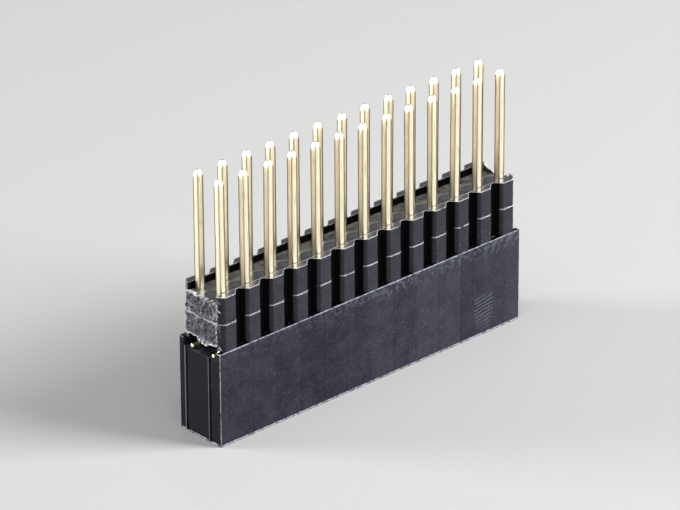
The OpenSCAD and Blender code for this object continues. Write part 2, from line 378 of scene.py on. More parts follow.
class Value:
    """A number, vector or colour that a material works out at each point of a surface.
    Sums, products and the like of values add the math nodes that they need."""

    def __init__(self, socket):
        self.socket = socket
        self.tree = socket.id_data

    def math(self, operation, other=0.0, swapped=False):
        """What a math node makes of this value and another."""
        made = self.tree.nodes.new("ShaderNodeMath")
        made.operation = operation
        put(made.inputs[0], other if swapped else self)
        put(made.inputs[1], self if swapped else other)
        return Value(made.outputs[0])

    def clamped(self):
        """This sum or product, kept between 0 and 1."""
        self.socket.node.use_clamp = True
        return self

    def __add__(self, other):
        return self.math("ADD", other)

    def __radd__(self, other):
        return self.math("ADD", other, swapped=True)

    def __sub__(self, other):
        return self.math("SUBTRACT", other)

    def __rsub__(self, other):
        return self.math("SUBTRACT", other, swapped=True)

    def __mul__(self, other):
        return self.math("MULTIPLY", other)

    def __truediv__(self, other):
        return self.math("DIVIDE", other)

    def __rtruediv__(self, other):
        return self.math("DIVIDE", other, swapped=True)

    def __pow__(self, power):
        return self.math("POWER", power)

    def __abs__(self):
        return self.math("ABSOLUTE")


def larger(a, b):
    """The larger of two values at each point."""
    return a.math("MAXIMUM", b)


def smaller(a, b):
    """The smaller of two values at each point."""
    return a.math("MINIMUM", b)


def put(socket, value):
    """Links an input to a value, or sets it to a plain number or colour."""
    if isinstance(value, Value):
        value.tree.links.new(value.socket, socket)
    else:
        socket.default_value = value


def fill(node, **inputs):
    """Puts values or plain numbers on a node's inputs. An underscore is a space."""
    for label, value in inputs.items():
        put(node.inputs[label.replace("_", " ")], value)
    return node


def add(tree, kind, settings=None, **inputs):
    """A new node with settings on the node itself and values on its inputs."""
    made = tree.nodes.new(kind)
    for label, value in (settings or {}).items():
        setattr(made, label, value)
    return fill(made, **inputs)


def noise(place, scale, detail=3.0, roughness=0.5, distortion=0.0):
    """Cloudy noise, mostly between 0.3 and 0.7."""
    made = add(place.tree, "ShaderNodeTexNoise", Vector=place, Scale=scale, Detail=detail,
               Roughness=roughness, Distortion=distortion)
    return Value(made.outputs["Fac"])


def stretched(place, scale, turn=(0, 0, 0)):
    """A place turned and then scaled, so that noise there is drawn out."""
    made = add(place.tree, "ShaderNodeMapping", Vector=place, Scale=scale, Rotation=turn)
    return Value(made.outputs["Vector"])


def ramp(value, low, high, to_low=0.0, to_high=1.0):
    """Maps low..high to to_low..to_high on a smooth step, and clamps outside it."""
    made = add(value.tree, "ShaderNodeMapRange", dict(interpolation_type="SMOOTHSTEP"),
               Value=value, From_Min=low, From_Max=high, To_Min=to_low, To_Max=to_high)
    return Value(made.outputs["Result"])


def fade(value, low, high):
    """1 up to low, 0 from high on."""
    return ramp(value, low, high, 1.0, 0.0)


def mix_colour(factor, a, b):
    """Colour a where the factor is 0, colour b where it is 1."""
    made = factor.tree.nodes.new("ShaderNodeMix")
    made.data_type = "RGBA"
    factor_in, a_in, b_in, result_out = 0, 6, 7, 2
    put(made.inputs[factor_in], factor)
    put(made.inputs[a_in], a)
    put(made.inputs[b_in], b)
    return Value(made.outputs[result_out])


def tinted(colour, share):
    """A colour with each of its channels scaled."""
    return (*[channel * part for channel, part in zip(colour, share)], 1.0)


def object_place(tree):
    """The place on the piece, in its own frame and in metres."""
    return Value(tree.nodes.new("ShaderNodeTexCoord").outputs["Object"])


def in_millimetres(place):
    """The three parts of a place."""
    parts = add(place.tree, "ShaderNodeSeparateXYZ", Vector=place)
    return [Value(part) * (1 / MM) for part in parts.outputs]


def upward(tree):
    """How far the surface faces up: -1 for down, 1 for up."""
    surface = tree.nodes.new("ShaderNodeNewGeometry")
    parts = add(tree, "ShaderNodeSeparateXYZ", Vector=Value(surface.outputs["Normal"]))
    return Value(parts.outputs["Z"])


def point_mark(tree, name):
    """The value that make_piece stored with each point under this name."""
    return Value(add(tree, "ShaderNodeAttribute", dict(attribute_name=name)).outputs["Fac"])


def bump(shader, height, micron):
    """Raises the surface by a height that is given in units of so many microns."""
    made = add(shader.id_data, "ShaderNodeBump", Strength=1.0, Distance=micron * MICRON,
               Height=height)
    put(shader.inputs["Normal"], Value(made.outputs["Normal"]))


def new_material(name):
    """A material, its node tree and its shader."""
    material = bpy.data.materials.new(name)
    material.use_nodes = True
    tree = material.node_tree
    return material, tree, tree.nodes["Principled BSDF"]


def values_of(node):
    """The outputs of a node by name."""
    return {socket.name: Value(socket) for socket in node.outputs}


def new_group(name, inputs, outputs):
    """An empty node group, the values it is given, and the sockets it gives them on."""
    group = bpy.data.node_groups.new(name, "ShaderNodeTree")
    for label, default in inputs.items():
        socket = group.interface.new_socket(label, in_out="INPUT", socket_type="NodeSocketFloat")
        socket.default_value = default
    for label in outputs:
        group.interface.new_socket(label, in_out="OUTPUT", socket_type="NodeSocketFloat")
    given = values_of(group.nodes.new("NodeGroupInput"))
    return group, given, group.nodes.new("NodeGroupOutput").inputs


GROUPS = {}


def group_node(tree, maker, **inputs):
    """The outputs of a node group placed in a material. It is built the first time."""
    if maker not in GROUPS:
        GROUPS[maker] = maker()
    return values_of(add(tree, "ShaderNodeGroup", dict(node_tree=GROUPS[maker]), **inputs))


def moulded_skin_group():
    """The skin of moulded plastic: fine grain, mottled flow marks and thin scratches.
    Gives a height for bump, a change of roughness, and a tone from dull to pale."""
    group, given, give = new_group(
        "Moulded skin", {"Grain size": 0.06, "Mottle size": 1.5, "Scratches": 0.3},
        ["Height", "Roughness", "Tone"])
    place = object_place(group)
    grain = noise(place, (1 / MM) / given["Grain size"], 2.0)
    specks = ramp(noise(place, 5200.0, 3.0, 0.7), 0.48, 0.66)
    mottle = noise(place, (1 / MM) / given["Mottle size"], 4.0, 0.6)
    slanted = stretched(place, (250.0, 250.0, 6500.0), (0.0, math.radians(-24), 0.0))
    lines = ramp(noise(slanted, 1.0, 3.0, 0.65), 0.62, 0.74)
    patches = ramp(noise(place, 420.0, 2.0), 0.45, 0.62)
    scratch = lines * patches * given["Scratches"]
    put(give["Height"], grain * 0.5 - scratch)
    put(give["Roughness"], mottle * 0.14 + scratch * 0.2)
    put(give["Tone"], ramp(mottle, 0.35, 0.7, 0.0, 0.3) + (scratch + specks) * 0.45)
    return group


def edge_highlight_group():
    """A painted highlight on sharp edges. Where a rounded normal differs from the true one
    there is an edge close by. Noise makes the line uneven and breaks it up."""
    group, given, give = new_group(
        "Painted edge highlight", {"Radius": 0.06, "Least": 0.02, "Gaps": 0.42}, ["Wear"])
    place = object_place(group)
    surface = group.nodes.new("ShaderNodeNewGeometry")
    rounded = add(group, "ShaderNodeBevel", dict(samples=6), Radius=given["Radius"] * MM)
    both = add(group, "ShaderNodeVectorMath", dict(operation="DOT_PRODUCT"))
    put(both.inputs[0], Value(surface.outputs["True Normal"]))
    put(both.inputs[1], Value(rounded.outputs["Normal"]))
    turn = 1.0 - Value(both.outputs["Value"])
    uneven = noise(place, 3000.0, 4.0, 0.7) * 0.06
    line = ramp(turn - (given["Least"] + uneven), 0.0, 0.04)
    # Gaps that break up the painted highlight line
    line_breaks = ramp(noise(place, 1100.0, 4.0, 0.65), given["Gaps"] - 0.08, given["Gaps"] + 0.08)
    put(give["Wear"], line * line_breaks)
    return group


def block_edge_highlight_group():
    """A painted highlight along the outer edges of a block, broken into bright nicks. Of
    the distances to its end, its side and its base or top, the second smallest is small
    only close to an edge. The line at the base lies a little above it."""
    group, given, give = new_group(
        "Block edges",
        {"Half length": HOUSING_END, "Half width": HOUSING_SIDE, "Height": HOUSING_TOP,
         "Base line": 0.11, "Band": 0.08},
        ["Wear"])
    place = object_place(group)
    x, y, z = in_millimetres(place)
    to_end = given["Half length"] - abs(x)
    to_side = given["Half width"] - abs(y)
    to_face = smaller(abs(z - given["Base line"]) * 0.9, given["Height"] - z)
    # The factor keeps the upright corners' line thinner than the others
    farther = larger(to_end, to_side) * 1.3
    second = larger(smaller(to_end, to_side), smaller(farther, to_face))
    uneven = noise(place, 2400.0, 5.0, 0.75) * 1.7
    reach = given["Band"] * (uneven - 0.1)
    near = fade(second / reach, 0.8, 1.3)
    bright = ramp(noise(place, 3000.0, 3.0, 0.6), 0.38, 0.56, 0.3, 1.0)
    put(give["Wear"], near * bright)
    return group


def drawn_wire_group():
    """Fine lines along a drawn wire, and a faint uneven film. Gives a height for bump,
    a roughness and a mask for the duller plating."""
    group, given, give = new_group(
        "Drawn wire", {"Line width": 0.04, "Roughness": 0.24, "Unevenness": 0.12},
        ["Height", "Roughness", "Film"])
    place = object_place(group)
    drawn = stretched(place, (1000.0, 1000.0, 28.0))
    film_and_edge_shade = noise(stretched(place, (1.0, 1.0, 0.45)), 900.0, 3.0, 0.6)
    put(give["Height"], noise(drawn, 1.0 / given["Line width"], 2.0, 0.6))
    put(give["Roughness"], given["Roughness"] + (film_and_edge_shade - 0.5) * given["Unevenness"])
    put(give["Film"], ramp(film_and_edge_shade, 0.5, 0.75))
    return group


def fracture_group():
    """A torn plastic face: pale crests and fibres over a darker ground."""
    group, given, give = new_group("Fracture", {"Grain size": 0.12}, ["Height", "Paleness"])
    place = object_place(group)
    crumbs = noise(place, (1 / MM) / given["Grain size"], 5.0, 0.65, 0.4)
    slanted = stretched(place, (1.0, 1.0, 2.2), (math.radians(35), 0.0, 0.0))
    streaks = noise(slanted, 3200.0, 4.0, 0.6)
    put(give["Height"], crumbs + streaks * 0.8)
    put(give["Paleness"], ramp(crumbs * 0.55 + streaks * 0.45, 0.40, 0.66))
    return group


def notch_shade_group():
    """How open a place on an insulator is: 1 on the flat of a pad and on faces that look
    up or down, 0 in the depth of a notch between two pads and on the trough's walls."""
    group, given, give = new_group(
        "Notch shade",
        {"Half width": INSULATOR_HALF, "Grey depth": 0.12, "Dark depth": 0.27},
        ["Open"])
    x, y, z = in_millimetres(object_place(group))
    # Faces that look up or down count as open, though not those at the seam
    level = abs(upward(group)) * ramp(abs(z - SEAM_Z), 0.08, 0.14)
    depth = given["Half width"] - abs(y)
    open_side = fade(depth, given["Grey depth"], given["Dark depth"])
    outside = larger(ramp(abs(y), TROUGH_HALF + 0.04, TROUGH_HALF + 0.08),
                     ramp(abs(x), 16.16, 16.20))
    at_end = ramp(abs(x), 15.6, 15.9, 0.0, 0.8) * outside
    put(give["Open"], larger(larger(open_side, at_end), ramp(level, 0.75, 0.95)))
    return group


def fine_dust(place):
    """A mask of scattered pale grains."""
    return ramp(noise(place, 5200.0, 2.0, 0.6), 0.70, 0.76)


def fine_scratches(place):
    """A mask of parallel scratches near the lower right-hand corner of the housing's
    front. Their ends are ragged, and they grow faint towards the base."""
    x, y, z = in_millimetres(place)
    turned = stretched(place, (1.0, 1.0, 1.0), (0.0, math.radians(8), 0.0))
    lines = add(place.tree, "ShaderNodeTexWave", dict(bands_direction="Z"), Vector=turned,
                Scale=950.0, Distortion=3.0, Detail=2.0, Detail_Scale=0.4)
    ragged_by = noise(place, 1300.0, 2.0)
    across = fade(abs(x - 12.45) + ragged_by, 1.35, 1.6)
    on_front = fade(y, -2.40, -2.35)
    low = ramp(z, 0.2, 1.8, 0.1, 1.0)
    high = fade(z + ragged_by, 3.7, 4.2)
    return ramp(Value(lines.outputs["Fac"]), 0.62, 0.95) * across * on_front * low * high


def groove_masks(x, y):
    """Masks of the grooves in the end faces: their shaded floors, and the back edge of
    each, which catches the light."""
    to_end = HOUSING_END - abs(x)
    within = fade(abs(abs(y - GROOVE_MIDDLE) - GROOVE_SPREAD), 0.15, 0.18)
    floors = within * ramp(to_end, 0.06, 0.11) * fade(to_end, 0.17, 0.21)
    # The lit lines lie just behind the grooves' edges
    lips = ramp(abs(abs(y - 0.38) - 1.41), 0.02, 0.05, 0.65, 0.0)
    return floors, lips


def socket_bands(x):
    """One tone for each pitch of the housing's sides, paler towards the right, with a
    thin step of painted shade between one pitch and the next. Also gives the step by itself."""
    pitches = (x + 0.35) / PITCH
    own = add(x.tree, "ShaderNodeTexWhiteNoise", dict(noise_dimensions="1D"),
              W=pitches.math("FLOOR"))
    step = fade(pitches.math("FRACT"), 0.0, 0.05)
    paler_right = ramp(x, -16.0, 10.0, 0.0, 0.10)
    return Value(own.outputs["Value"]) * 0.12 + paler_right - step * 0.12, step


def housing_plastic(look):
    """Satin black moulding. Each socket shows on the long sides as a faint upright
    band with a thin step at its side, which painted shade darkens. A rubbed band runs
    under the top edge, and painted highlights run along the edges."""
    material, tree, shader = new_material("housing_plastic")
    skin = group_node(tree, moulded_skin_group, Grain_size=0.07, Mottle_size=1.8, Scratches=0.35)
    inner = group_node(tree, edge_highlight_group, Radius=0.06, Least=0.02, Gaps=0.46)
    outer = group_node(tree, block_edge_highlight_group, Band=0.075)
    place = object_place(tree)
    x, y, z = in_millimetres(place)
    at_end = fade(HOUSING_END - abs(x), 0.04, 0.07)
    floors, lips = groove_masks(x, y)
    # Painted highlights: on the sharp edges, along the outer edges broken into nicks, and on the lit
    # lines behind the grooves
    edge_highlight = larger(larger(inner["Wear"] * 0.5, outer["Wear"]), at_end * lips)
    # In shade: the grooves' floors, the top under the insulators up to its outer edges,
    # and, less so, the end faces
    hidden_top = ramp(z, HOUSING_TOP - 0.03, HOUSING_TOP - 0.01) * fade(abs(y), 2.33, 2.38)
    shaded = larger(larger(floors, hidden_top), at_end * 0.65)
    bands, step = socket_bands(x)
    # The rubbed band is strongest towards the right-hand end
    rubbed = ramp(z, 6.7, 8.1) * ramp(x, -14.0, 8.0, 0.35, 1.0)
    scuff = rubbed * ramp(noise(place, 2600.0, 5.0, 0.7), 0.47, 0.62)
    strokes = fine_scratches(place)
    # The end faces lose most of the pale tone: painted shade
    tone = (skin["Tone"] * 0.45 + bands) * (1.0 - at_end * 0.75)
    tone = (tone + scuff * 0.75 + fine_dust(place) * 0.6 + strokes * 0.75).clamped()
    colour = mix_colour(tone, (*look.colour, 1.0), PALE_HOUSING)
    colour = mix_colour(shaded, colour, DEEP_SHADE)
    fill(shader, Base_Color=mix_colour(edge_highlight, colour, HOUSING_EDGE_HIGHLIGHT),
         Roughness=(0.34 + skin["Roughness"] + scuff * 0.10).clamped(),
         Specular_IOR_Level=0.13, Specular_Tint=COOL_SHEEN)
    bump(shader, skin["Height"] + step * -1.2 + scuff * 0.9 - strokes * 1.5, 4.0)
    return material


def insulator_plastic(look):
    """Glossy black moulding. Painted shade makes it nearly black in the notches between
    the pads. Close to the torn end the plastic is pale from strain. On the trough's floor
    lies a dark arc of painted shade at each pair of tails, with a paler painted reflection
    behind it."""
    material, tree, shader = new_material("insulator_plastic")
    skin = group_node(tree, moulded_skin_group, Grain_size=0.05, Mottle_size=0.9, Scratches=0.25)
    edge_glint = group_node(tree, edge_highlight_group, Radius=0.12, Least=0.0, Gaps=0.38)
    is_open = group_node(tree, notch_shade_group)["Open"]
    place = object_place(tree)
    x, y, z = in_millimetres(place)
    strained = fade(x, TEAR_X - 0.1, TEAR_X + 0.35) * ramp(noise(place, 3800.0, 4.0, 0.7), 0.48, 0.62)
    # The painted edge highlight is faint on upright edges and strongest at the seam and the rims.
    to_level_edge = smaller(abs(z - SEAM_Z), abs(z - RIM_Z))
    edges = edge_glint["Wear"] * ramp(to_level_edge, 0.07, 0.11, 1.0, 0.12) * is_open
    tone = (skin["Tone"] * 0.4 + fine_dust(place) * 0.6).clamped()
    lit = mix_colour(tone, (*look.colour, 1.0), PALE_INSULATOR)

    wave_x = (x * (2 * math.pi / PITCH)).math("COSINE")
    wave_y = (y * 2.4).math("COSINE")
    in_trough = fade(abs(y), 1.55, TROUGH_HALF)
    on_floor = ramp(upward(tree), 0.6, 0.9) * in_trough
    behind = y - wave_x * 0.25
    # Painted reflection behind each arc on the trough's floor, and painted shade in the arc itself
    cloud = ramp(noise(place, 1500.0, 3.0, 0.6), 0.35, 0.6, 0.35, 1.0)
    arc = ramp(abs(behind + 0.02), 0.05, 0.16, 0.8, 0.0)
    lit = mix_colour(ramp(behind, 0.08, 0.30) * cloud * on_floor, lit, TROUGH_REFLECTION_GREY)
    lit = mix_colour(arc * on_floor, lit, ARC_SHADE_BLACK)

    # Painted shade: near black in the notches and on the trough's walls, where the place is not open
    colour = mix_colour(is_open, NOTCH_SHADE_BLACK, lit)
    # Pale from strain near the tear, and a painted highlight along the edges
    fill(shader, Base_Color=mix_colour(larger(strained * 0.6, edges), colour, PALE_STRAIN_AND_HIGHLIGHT),
         Roughness=0.24 + skin["Roughness"] + (1.0 - is_open) * 0.3,
         Specular_IOR_Level=0.04, Coat_Weight=is_open * 0.5, Coat_Roughness=0.20)
    # The floor is dished between the tails: a shallow wave along and across it
    dish = (wave_x + wave_y * 1.6) * in_trough
    bump(shader, skin["Height"] + dish * 9.0, 3.0)
    return material


def torn_plastic(look):
    """The dull grey face of the tear, with pale crests."""
    material, tree, shader = new_material("torn_plastic")
    torn = group_node(tree, fracture_group, Grain_size=0.16)
    # The crests' middle tones are held back, so that only the ragged edges are near white
    pale = (torn["Paleness"] * 0.10 + point_mark(tree, "crest") ** 1.5).clamped()
    fill(shader, Base_Color=mix_colour(pale, (*look.torn_colour, 1.0), PALE_CREST),
         Roughness=0.55, Specular_IOR_Level=0.2)
    bump(shader, torn["Height"], 24.0)
    return material


def contact_gold(look):
    """Pale gold flash over drawn wire."""
    material, tree, shader = new_material("contact_gold")
    wire = group_node(tree, drawn_wire_group, Line_width=0.05, Roughness=0.36, Unevenness=0.14)
    dull = tinted(look.colour, (0.80, 0.68, 0.50))
    edge_shade_brown = tinted(look.colour, (0.12, 0.075, 0.04))
    plated = mix_colour(wire["Film"] * 0.3, (*look.colour, 1.0), dull)
    streaks = ramp(wire["Height"], 0.55, 0.66, 0.0, 0.45)
    # Darker along the long edges: a painted dark reflection, together with the drawn streaks
    dark = larger(point_mark(tree, "corner") * 0.96, streaks)
    fill(shader, Base_Color=mix_colour(dark, plated, edge_shade_brown), Metallic=1.0,
         Roughness=wire["Roughness"])
    bump(shader, wire["Height"], 5.0)
    return material


def floor_material(look):
    """A plain pale floor with a faint grain."""
    material, tree, shader = new_material("plain_floor")
    grain = noise(object_place(tree), 1500.0, 4.0, 0.6)
    darker = tinted(look.floor_colour, (0.96, 0.96, 0.96))
    fill(shader, Base_Color=mix_colour(grain, (*look.floor_colour, 1.0), darker), Roughness=0.7)
    return material


# Pieces


def housing_shape():
    """A block of cells with a channel along its top and one stepped shaft for each
    contact. The corners of the shafts' mouths are spread apart on the base, so that
    each lead-in tapers."""
    # Half widths along the row, from the base up: mouth, entry, leaves' shaft, pocket
    mouth, entry, leaf, shoulder = 0.8, 0.45, 0.83, 0.97
    row_half = 0.7
    entry_floor = 1.2
    mouth_depth = 0.7
    grooves = [(GROOVE_MIDDLE + side * GROOVE_SPREAD - GROOVE_HALF,
                GROOVE_MIDDLE + side * GROOVE_SPREAD + GROOVE_HALF) for side in (-1, 1)]
    groove_floor = HOUSING_END - GROOVE_DEPTH
    offsets = np.array([-shoulder, -leaf, -entry, entry, leaf, shoulder])
    xs = planes_from([-HOUSING_END, -groove_floor, groove_floor, HOUSING_END],
                     PIN_X[:, None] + offsets)
    row_lines = [row + np.array([-row_half, -entry, entry, row_half]) for row in ROWS.values()]
    ys = planes_from([-HOUSING_SIDE, HOUSING_SIDE], *row_lines, np.ravel(grooves))
    # The evenly spaced planes only divide the tall walls
    zs = planes_from([0, mouth_depth, entry_floor, LEDGE_Z, CHANNEL_Z, HOUSING_TOP],
                     np.linspace(1.8, 6.2, 9))

    def is_filled(x, y, z):
        from_pin = np.abs(from_nearest_pin(x))
        from_row = from_nearest_row(y)
        in_shaft = (z > entry_floor) & (z < LEDGE_Z) & (from_pin < leaf)
        in_pocket = (z > LEDGE_Z) & (from_pin < shoulder)
        filled = ~((z > CHANNEL_Z) & (np.abs(y) < ROWS["back"] + row_half))
        filled &= ~((z < entry_floor) & (from_pin < entry) & (from_row < entry))
        filled &= ~((in_shaft | in_pocket) & (from_row < row_half))
        for start, stop in grooves:
            filled &= ~((np.abs(x) > groove_floor) & (y > start) & (y < stop))
        return filled

    points, quads, _ = cell_block(xs, ys, zs, is_filled)
    px, py, pz = points.T.copy()
    from_pin = from_nearest_pin(px)
    row = np.sign(py) * ROWS["back"]
    from_row = py - row
    on_base = pz < 0.001
    spread = on_base & (np.abs(from_pin) < shoulder + 0.01) & (np.abs(from_row) < row_half + 0.01)
    along = np.interp(np.abs(from_pin), [0, entry, leaf, shoulder],
                      [0, mouth, mouth + 0.07, mouth + 0.14])
    across = np.interp(np.abs(from_row), [0, entry, row_half], [0, mouth, mouth + 0.06])
    points[spread, 0] += (np.sign(from_pin) * (along - np.abs(from_pin)))[spread]
    points[spread, 1] = (row + np.sign(from_row) * across)[spread]
    return points, quads


def housing_edge_share(middles, along):
    """The upright corners get the full radius and every other edge a third of it."""
    upright = along[:, 2] > along[:, :2].max(1)
    at_corner = (np.abs(middles[:, 0]) > HOUSING_END - 0.01) & (
        np.abs(middles[:, 1]) > HOUSING_SIDE - 0.01)
    return np.where(upright & at_corner, 1.0, 0.33)


def outer_half(x, flat):
    """Half width of an insulator along the row: full over each pad, then a 45 degree
    flank down into the notch. Both ends of the flank are rounded by a hyperbola."""
    top_bend, foot_bend = 0.03, 0.05
    run = np.abs(from_nearest_pin(x)) - flat / 2
    depth = 0.5 * (run + np.sqrt(run ** 2 + top_bend ** 2))
    left = NOTCH_DEPTH - depth
    depth = NOTCH_DEPTH - 0.5 * (left + np.sqrt(left ** 2 + foot_bend ** 2))
    return INSULATOR_HALF - depth


def tear_surface(y, z, seed):
    """Place of the torn face along X: lumps, ridges and crumbs, coarse to fine."""
    y = np.asarray(y)
    z = np.asarray(z)
    lump = 0.10 * lattice_noise(y, z, 1.1, seed)
    ridges = 0.10 * np.abs(lattice_noise(y + 0.5 * z, z - 0.6 * y, 0.5, seed + 1))
    crumbs = 0.04 * lattice_noise(y, z, 0.17, seed + 2) + 0.02 * lattice_noise(y, z, 0.08, seed + 6)
    return TEAR_X - lump - ridges - crumbs


def insulator_shape(flat, seed, proud=0.0):
    """One insulator with its flat face at z = 0 and its trough up. Its outermost
    planes follow the notches, and its end planes follow the tear and the snap. The
    pads stand proud by a little on the lower insulator."""
    height = RIM_Z - SEAM_Z
    floor = height - TROUGH_DEPTH
    hole = TAIL_HOLE / 2
    # Planes along each flank, from the edge of the pad's flat into the notch
    run = np.array([-0.09, -0.05, -0.025, -0.01, 0.01, 0.025, 0.05, 0.09, 0.16, 0.26, 0.36,
                    0.44, 0.50, 0.55, 0.60, 0.66])
    flank = np.concatenate([flat / 2 + run, [PITCH / 2]])
    xs = planes_from(PIN_X[:, None] + np.concatenate([-flank, [-hole, hole], flank]))
    xs = xs[(xs > TEAR_X + 0.3) & (xs < SNAP_X - 0.06)]
    xs = np.concatenate([[TEAR_X], xs, [SNAP_X]])
    ys = planes_from([-INSULATOR_HALF, INSULATOR_HALF], [-TROUGH_HALF, TROUGH_HALF], [-2.0, 2.0],
                     *[row + np.array([-hole, 0, hole]) for row in ROWS.values()],
                     np.linspace(-0.7, 0.7, 7))
    zs = planes_from([0, floor, height], np.linspace(0, floor, 8), np.linspace(floor, height, 4))

    def is_filled(x, y, z):
        in_trough = (z > floor) & (np.abs(y) < TROUGH_HALF)
        in_hole = (np.abs(from_nearest_pin(x)) < hole) & (from_nearest_row(y) < hole)
        return ~(in_trough | in_hole)

    points, quads, planes = cell_block(xs, ys, zs, is_filled)
    px, py, pz = points.T.copy()
    half = outer_half(px, flat) + proud
    share = (np.abs(py) - TROUGH_HALF) / (INSULATOR_HALF - TROUGH_HALF)
    outside = share > 0.001
    points[:, 1] = np.where(outside, np.sign(py) * (TROUGH_HALF + share * (half - TROUGH_HALF)), py)
    # The strip ends a little behind the finer torn face, which is a piece of its own
    behind_face = 0.16
    torn = planes[:, 0] == 0
    points[torn, 0] = tear_surface(points[torn, 1], pz[torn], seed) + behind_face
    snapped = planes[:, 0] == len(xs) - 1
    points[snapped, 0] += 0.04 * lattice_noise(points[snapped, 1], pz[snapped], 0.3, seed + 5)
    return points, quads


def turned_over(points):
    """The same shape turned half a turn about the row."""
    return points * np.array([1, -1, -1])


def sheet_shape(left, right, bottom, top, face, depth, count):
    """A closed sheet facing -X. Its outline runs between the curves left(t), right(t),
    bottom(s) and top(s), with s and t from 0 to 1. Its front stands at face(y, z).
    Also gives how far each point lies from the outline."""
    columns, rows = count
    s, t = np.meshgrid(np.linspace(0, 1, columns), np.linspace(0, 1, rows), indexing="ij")
    y = (1 - s) * left(t) + s * right(t)
    z = (1 - t) * bottom(s) + t * top(s)
    to_edge = np.minimum(np.minimum(y - left(t), right(t) - y), np.minimum(z - bottom(s), top(s) - z))
    front = np.stack([face(y, z), y, z], axis=-1)
    back = front + [depth, 0, 0]
    points = np.concatenate([front.reshape(-1, 3), back.reshape(-1, 3)])
    number = np.arange(columns * rows).reshape(columns, rows)
    skin = np.stack([number[:-1, :-1], number[:-1, 1:], number[1:, 1:], number[1:, :-1]], -1)
    skin = skin.reshape(-1, 4)
    border = np.concatenate([number[:-1, 0], number[-1, :-1], number[:0:-1, -1], number[0, :0:-1]])
    after = np.roll(border, -1)
    offset = columns * rows
    sides = np.stack([border, after, after + offset, border + offset], axis=1)
    quads = np.concatenate([skin, skin[:, ::-1] + offset, sides])
    return points, quads, np.tile(to_edge.reshape(-1), 2)


def ragged(seed, coarse, fine):
    """An uneven line around 0: coarse waves with a fine saw on top."""
    def offset(share):
        along = np.asarray(share) * 3.8
        return (coarse * lattice_noise(along, along * 0, 0.35, seed)
                + fine * lattice_noise(along, along * 0, 0.09, seed + 1))
    return offset


def torn_face(name, seed):
    """The torn end of one insulator. The lower one carries a lip of plastic that was
    pulled down below its web."""
    floor = RIM_Z - TROUGH_DEPTH
    ceiling = HOUSING_TOP + TROUGH_DEPTH
    edge = [ragged(seed + 10 * k, 0.05, 0.05) for k in range(4)]
    if name == "upper":
        def bottom(s):
            return SEAM_Z - 0.01 + edge[0](s) * 0.5

        def top(s):
            return floor + 0.02 + edge[1](s)
    else:
        def bottom(s):
            lip = 0.42 * np.exp(-((s - 0.36) / 0.24) ** 2)
            return ceiling - 0.06 - lip + edge[0](s) * 1.3

        def top(s):
            return SEAM_Z - 0.03 + edge[1](s) * 0.5

    def left(t):
        return -1.82 + edge[2](t)

    def right(t):
        return 1.84 + edge[3](t)

    def face(y, z):
        lip = np.clip((ceiling + 0.15 - z) / 0.5, 0, 1) * (name == "lower")
        return tear_surface(y, z, seed) + 0.02 - 0.07 * lip

    points, quads, inside = sheet_shape(left, right, bottom, top, face, depth=0.3, count=(121, 61))
    # The rim of the front stands out unevenly
    rim = np.clip(1 - inside / 0.10, 0, 1)
    y, z = points[:, 1], points[:, 2]
    broken = 0.5 + 0.5 * lattice_noise(y, z, 0.12, seed + 7)
    front = slice(len(points) // 2)
    points[front, 0] -= (rim * 0.05 * broken)[front]
    # Pale places: the rim, two nets of thin ridges, and the pulled lip
    ridge = 1 - np.abs(lattice_noise(y + 0.5 * z, z - 0.6 * y, 0.5, seed + 1)) * 5
    veins = 1 - np.abs(lattice_noise(y - 0.3 * z, z + 0.4 * y, 0.8, seed + 8)) * 7
    crest = rim * (0.35 + 0.65 * broken) + 0.30 * np.clip(ridge, 0, 1) + 0.35 * np.clip(veins, 0, 1)
    if name == "lower":
        crest = crest + 0.45 * np.clip((ceiling + 0.1 - z) / 0.3, 0, 1) * (0.4 + broken)
    return points, quads, np.clip(crest, 0, 1)


def snapped_web(seed):
    """What is left of the web at the right-hand end: a thin ragged wall across the
    trough, high at both rims and broken away in the middle."""
    floor = RIM_Z - TROUGH_DEPTH
    half = 1.66
    y_marks = [-half, -1.5, -1.2, -0.8, 0.0, 0.6, 1.1, 1.45, half]
    z_marks = [0.67, 0.69, 0.36, 0.27, 0.06, 0.20, 0.36, 0.66, 0.66]
    edge = ragged(seed, 0.04, 0.06)

    def top(s):
        y = half * (2 * s - 1)
        return floor + np.maximum(np.interp(y, y_marks, z_marks) + edge(s), 0.02)

    def face(y, z):
        return SNAP_X - 0.10 + 0.05 * lattice_noise(y, z, 0.25, seed + 3)

    points, quads, inside = sheet_shape(
        lambda t: -half + 0 * t, lambda t: half + 0 * t, lambda s: floor - 0.05 + 0 * s, top,
        face, depth=0.06, count=(81, 13))
    points[:, 2] = np.minimum(points[:, 2], RIM_Z + 0.05)
    # Its top edge is pale, most of all at the back
    crest = np.clip(1 - inside / 0.14, 0, 1) * np.where(points[:, 1] > 0.3, 1.0, 0.4)
    crest = crest * (points[:, 2] > floor + 0.08)
    return points, quads, crest


